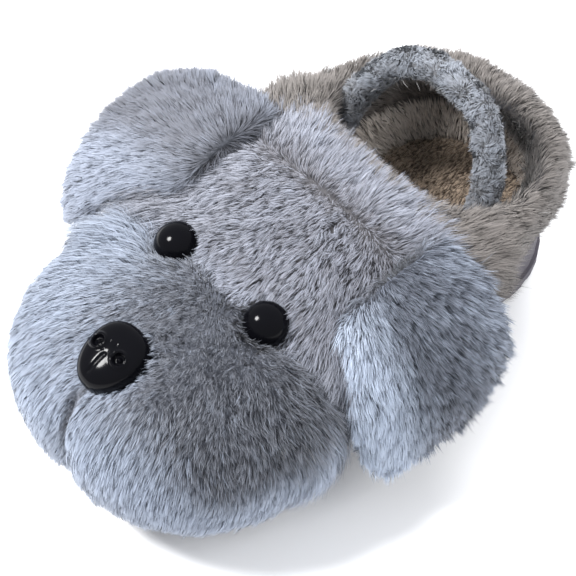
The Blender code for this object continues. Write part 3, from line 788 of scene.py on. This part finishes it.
# %% Fur of the ears
def ear_nap(side, centre):
    """From the ear's root outward and down, and spreading to its front and rear edges."""
    def nap(root, normal):
        flow = np.zeros_like(root)
        flow[:, 0] = side * 0.8
        flow[:, 1] = (root[:, 1] - centre) * 22
        flow[:, 2] = -0.8
        return flow
    return nap


def ear_patch(centre):
    """Dark down the middle, palest at the front edge, where painted light runs along the rim, and paler at the
    rear one.
    """
    def patch(root, normal):
        ahead = centre - root[:, 1]
        # Painted light: the front edge is paled as a lit rim.
        front = smooth(0.001, 0.024, ahead)
        rear = smooth(0.010, 0.034, -ahead)
        return 0.05 + 0.92 * front + 0.28 * rear + 0.06 * patchy(root, 0.022, 16)
    return patch


def ear_density(place, normal):
    """Full on the upper face and half below."""
    return 0.45 + 0.55 * smooth(-0.6, 0.0, normal[:, 2])


EAR_FURS = (
    # skin, side, middle along the shoe, finish
    (EAR_SKINS[0], 1, -0.004, "ear"),
    # The far ear takes the darker copy of the ear's plush, a painted shade.
    (EAR_SKINS[1], -1, -0.010, "far_ear_shaded"),
)
for ear, side, centre, finish in EAR_FURS:
    grow_fur(
        ear.name.replace("plush", "fur"), ear, finish, 58000, pile(0.0078), 0.00031,
        ear_nap(side, centre), ear_density, ear_patch(centre), seed=6 + side, lean=0.72,
    )


# %% Fleece of the strap
def fleece_nap(root, normal):
    """Short curls that turn this way and that."""
    return waves(root, 0.012, np.random.default_rng(17)) + 0.3 * waves(root, 0.005, np.random.default_rng(18))


def fleece_density(place, normal):
    return smooth(0.060, 0.072, place[:, 2])


def fleece_patch(root, normal):
    """Cool and pale along the top, warmer and darker down the legs: painted light on the top and painted shade on
    the legs.
    """
    # Painted light and shade: the top is paler than the legs.
    return 0.24 + 0.30 * smooth(0.078, 0.105, root[:, 2]) + 0.14 * patchy(root, 0.008, 19)


strap_fleece = grow_fur(
    "heel_strap_curls", STRAP_SKIN, "fleece", 32000, pile(0.0030), 0.00038,
    fleece_nap, fleece_density, fleece_patch, seed=9, tuft=0.0028, lean=0.75, pull=0.55, wild=0.30,
)

# %% [markdown]
# ## Skins under the pile
#
# Between the strands the backing cloth shows as shade, so each skin takes a dark tone of its own pile. The upper's
# lowest band has no pile: there the skin itself shows, in the colour of the sole.

# %% Backing cloth
BACKING = (
    # skin, red, green, blue
    (UPPER_SKIN, 0.085, 0.082, 0.088),
    (MUZZLE_SKIN, 0.130, 0.140, 0.170),
    (EAR_SKINS[0], 0.060, 0.066, 0.085),
    (EAR_SKINS[1], 0.075, 0.080, 0.095),
    (STRAP_SKIN, 0.120, 0.122, 0.130),
    (FOOTBED_SKIN, 0.110, 0.082, 0.062),
)
BAND_TOP = 0.047
BAND_EDGE = 0.002
BAND_COLOUR = (0.070, 0.064, 0.080, 1.0)


def backing_material(name, colour, banded):
    """Knitted backing: a fine bump and a tone that changes with it, over a plain band if asked."""
    material = bpy.data.materials.new(name)
    material.use_nodes = True
    nodes, links = material.node_tree.nodes, material.node_tree.links
    shader = nodes["Principled BSDF"]
    shader.inputs["Roughness"].default_value = 0.95
    place = nodes.new("ShaderNodeTexCoord")
    noise = nodes.new("ShaderNodeTexNoise")
    noise.inputs["Scale"].default_value = 900.0
    links.new(place.outputs["Object"], noise.inputs["Vector"])
    ramp = nodes.new("ShaderNodeMix")
    ramp.data_type = "RGBA"
    ramp.inputs["A"].default_value = (*[0.6 * part for part in colour], 1.0)
    ramp.inputs["B"].default_value = (*[1.4 * part for part in colour], 1.0)
    links.new(noise.outputs["Fac"], ramp.inputs["Factor"])
    links.new(ramp.outputs["Result"], shader.inputs["Base Color"])
    if banded:
        parts = nodes.new("ShaderNodeSeparateXYZ")
        links.new(place.outputs["Object"], parts.inputs["Vector"])
        below = nodes.new("ShaderNodeMapRange")
        below.inputs["From Min"].default_value = BAND_TOP
        below.inputs["From Max"].default_value = BAND_TOP - BAND_EDGE
        links.new(parts.outputs["Z"], below.inputs["Value"])
        band = nodes.new("ShaderNodeMix")
        band.data_type = "RGBA"
        links.new(ramp.outputs["Result"], band.inputs["A"])
        band.inputs["B"].default_value = BAND_COLOUR
        links.new(below.outputs["Result"], band.inputs["Factor"])
        links.new(band.outputs["Result"], shader.inputs["Base Color"])
    bump = nodes.new("ShaderNodeBump")
    bump.inputs["Strength"].default_value = 0.4
    bump.inputs["Distance"].default_value = 0.0005
    links.new(noise.outputs["Fac"], bump.inputs["Height"])
    links.new(bump.outputs["Normal"], shader.inputs["Normal"])
    return material


for piece, *colour in BACKING:
    piece.data.materials.clear()
    piece.data.materials.append(backing_material(piece.name + "_backing", colour, piece is UPPER_SKIN))

# %% [markdown]
# ## Hard parts
#
# The eyes and the nose are moulded in black plastic and polished, and the sole is moulded in soft rubber. The
# plastic mirrors little of the pale studio, or it would look grey: only the key lamp is bright enough to show.

# %% Rubber and plastic
def plain_material(name, colour, roughness, coat, scale, strength):
    """A moulded finish: a colour and a roughness that change a little in fine grain."""
    material = bpy.data.materials.new(name)
    material.use_nodes = True
    nodes, links = material.node_tree.nodes, material.node_tree.links
    shader = nodes["Principled BSDF"]
    shader.inputs["Coat Weight"].default_value = coat
    shader.inputs["Coat Roughness"].default_value = 0.03
    place = nodes.new("ShaderNodeTexCoord")
    noise = nodes.new("ShaderNodeTexNoise")
    noise.inputs["Scale"].default_value = scale
    noise.inputs["Detail"].default_value = 4.0
    links.new(place.outputs["Object"], noise.inputs["Vector"])
    mix = nodes.new("ShaderNodeMix")
    mix.data_type = "RGBA"
    mix.inputs["A"].default_value = (*[0.8 * part for part in colour], 1.0)
    mix.inputs["B"].default_value = (*[1.2 * part for part in colour], 1.0)
    links.new(noise.outputs["Fac"], mix.inputs["Factor"])
    links.new(mix.outputs["Result"], shader.inputs["Base Color"])
    rough = nodes.new("ShaderNodeMapRange")
    rough.inputs["To Min"].default_value = 0.8 * roughness
    rough.inputs["To Max"].default_value = 1.2 * roughness
    links.new(noise.outputs["Fac"], rough.inputs["Value"])
    links.new(rough.outputs["Result"], shader.inputs["Roughness"])
    bump = nodes.new("ShaderNodeBump")
    bump.inputs["Strength"].default_value = strength
    bump.inputs["Distance"].default_value = 0.0003
    links.new(noise.outputs["Fac"], bump.inputs["Height"])
    links.new(bump.outputs["Normal"], shader.inputs["Normal"])
    return material


POLISHED = plain_material("polished_black", (0.002, 0.002, 0.003), 0.11, 0.0, 60.0, 0.02)
POLISHED.node_tree.nodes["Principled BSDF"].inputs["Specular IOR Level"].default_value = 0.09
RUBBER = plain_material("sole_rubber", (0.070, 0.064, 0.078), 0.70, 0.0, 1400.0, 0.35)
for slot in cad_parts["outsole"].material_slots:
    slot.material = RUBBER

# %% [markdown]
# ## Nose and eyes
#
# Each is a dome: rings run from a short seat, hidden in the pile, up to a pole. The rings of the nose follow a
# rounded triangle, and its height is then lowered and raised by bells of the distance from each nostril and from
# the groove. A formula is used rather than sculpting, since it can be read and changed.

# %% Domes
MUZZLE_MIDDLE = np.array([0.0, -0.0685, 0.0470])
MUZZLE_HALF_LENGTH = 0.0640
MUZZLE_HALF_HEIGHT = 0.0400
MUZZLE_HALF_WIDTH = 0.0695
MUZZLE_FULLNESS = 2.2
NOSE_TILT = math.radians(47)
NOSE_HALF_WIDTH = 0.0138
NOSE_HALF_HEIGHT = 0.0155
NOSE_DOME = 0.0100
NOSE_SEAT = 0.0038
EYE_RADIUS = 0.0095
EYE_DOME = 0.0085
EYE_SEAT = 0.0033


def dome_grid(around, up):
    """Cosine, sine and rise of a unit dome's rings: columns go round, and rows from the rim towards the pole."""
    turn = np.arange(around) / around * 2 * math.pi
    rise = (np.arange(up) / up * math.pi / 2)[:, None]
    return np.cos(turn) * np.cos(rise), np.sin(turn) * np.cos(rise), np.sin(rise) + 0 * turn


def closed_mesh(name, rings, low_pole, high_pole):
    """A closed mesh of rings of points between two poles: quads between neighbours, triangles to the poles."""
    up, around = rings.shape[:2]
    points = np.concatenate([rings.reshape(-1, 3), [low_pole, high_pole]])
    i = np.arange(around)
    j = (i + 1) % around
    row = around * np.arange(up - 1)[:, None]
    quads = np.stack([row + i, row + j, row + around + j, row + around + i], axis=-1).reshape(-1, 4)
    under = np.stack([j, i, np.full(around, len(points) - 2)], axis=1)
    last = around * (up - 1)
    over = np.stack([last + i, last + j, np.full(around, len(points) - 1)], axis=1)
    mesh = bpy.data.meshes.new(name)
    mesh.from_pydata(points.tolist(), [], quads.tolist() + under.tolist() + over.tolist())
    mesh.update()
    mesh.shade_smooth()
    return mesh


def placed(points, origin, axes):
    """Local points carried to an origin and three axes."""
    return points @ np.array(axes) + origin


def hard_piece(name, node, local, seat, origin, axes):
    """A dome in its place: its rings, a straight seat under its rim, and its two poles."""
    skirt = local[0] * (1, 1, 0) + np.array([0.0, 0.0, -seat])
    rings = placed(np.concatenate([skirt[None] * (0.9, 0.9, 1), skirt[None], local]), origin, axes)
    low, high = placed(np.array([[0, 0, -seat], [0, 0, local[-1, :, 2].mean()]]), origin, axes)
    piece = new_piece(name, closed_mesh(name, rings, low, high))
    piece.data.materials.append(POLISHED)
    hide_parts(node)
    return piece


# %% Nose
NOSE_CORNERS = 0.88
NOSE_ROUNDING = 0.62
NOSTRIL_X = 0.0062
NOSTRIL_Y = 0.0010
PITS = ((-0.0018, 0.0036), (0.0012, 0.0042), (-0.0022, -0.0004), (0.0004, -0.0012))


def nose_relief(x, y):
    """Rings round two nostrils with a bead in each, a groove from between them down, and a few small pits."""
    height = np.zeros_like(x)
    for side in (1, -1):
        away = np.hypot(x - side * NOSTRIL_X, y - NOSTRIL_Y)
        height += 0.0010 * bell(away - 0.0031, 0.0007) - 0.0016 * smooth(0.0029, 0.0017, away)
        height += 0.0013 * bell(away, 0.0009)
    height -= 0.0006 * bell(x, 0.0008) * smooth(0.0005, -0.0025, y) * smooth(-0.0125, -0.0095, y)
    for pit_x, pit_y in PITS:
        height -= 0.0005 * bell(np.hypot(x - pit_x, y - pit_y), 0.00045)
    return height


def nose_place():
    """Where the muzzle's middle line leans by the tilt, and the axes there: across, up the face and outward."""
    ahead, high = math.cos(NOSE_TILT), math.sin(NOSE_TILT)
    n = MUZZLE_FULLNESS
    reach = ((ahead / MUZZLE_HALF_LENGTH) ** n + (high / MUZZLE_HALF_HEIGHT) ** n) ** (-1 / n)
    origin = MUZZLE_MIDDLE + np.array([0.0, -reach * ahead, reach * high])
    out = np.array([
        0.0,
        -((reach * ahead / MUZZLE_HALF_LENGTH) ** (n - 1)) / MUZZLE_HALF_LENGTH,
        (reach * high / MUZZLE_HALF_HEIGHT) ** (n - 1) / MUZZLE_HALF_HEIGHT,
    ])
    out /= np.linalg.norm(out)
    return origin, ((1.0, 0.0, 0.0), (0.0, out[2], -out[1]), tuple(out))


across, up_face, rise = dome_grid(128, 44)
taper = 0.95 + 0.13 * up_face - 0.06 * up_face**2
nose_x = np.sign(across) * np.abs(across) ** NOSE_CORNERS * taper * NOSE_HALF_WIDTH
nose_y = np.sign(up_face) * np.abs(up_face) ** NOSE_CORNERS * NOSE_HALF_HEIGHT
nose_z = rise**NOSE_ROUNDING * NOSE_DOME + nose_relief(nose_x, nose_y) * smooth(0.15, 0.5, rise)
hard_piece("nose_moulded", "nose", np.stack([nose_x, nose_y, nose_z], axis=-1), NOSE_SEAT, *nose_place())
print("the nose is", round(1000 * float(np.ptp(nose_x)), 1), "mm wide")

# %% Eyes
EYE_SPACING = 0.054
EYE_BEHIND_MUZZLE = 0.0225
EYE_STAND = 0.0020
EYE_LOOK = (0.34, -0.30, 0.90)


def eye_place(side):
    """The muzzle's surface near its seam with the forehead, and axes whose last looks out."""
    x = side * EYE_SPACING / 2
    n = MUZZLE_FULLNESS
    used = abs(x / MUZZLE_HALF_WIDTH) ** n + (EYE_BEHIND_MUZZLE / MUZZLE_HALF_LENGTH) ** n
    high = MUZZLE_HALF_HEIGHT * (1 - used) ** (1 / n)
    out = Vector((EYE_LOOK[0] * side, EYE_LOOK[1], EYE_LOOK[2])).normalized()
    first = out.orthogonal().normalized()
    origin = MUZZLE_MIDDLE + np.array([x, EYE_BEHIND_MUZZLE, high]) + np.array(out) * EYE_STAND
    return origin, (tuple(first), tuple(out.cross(first)), tuple(out))


for node, side in (("eye_left", 1), ("eye_right", -1)):
    across, up_face, rise = dome_grid(48, 16)
    eye_local = np.stack([across * EYE_RADIUS, up_face * EYE_RADIUS, rise * EYE_DOME], axis=-1)
    hard_piece(node + "_dome", node, eye_local, EYE_SEAT, *eye_place(side))
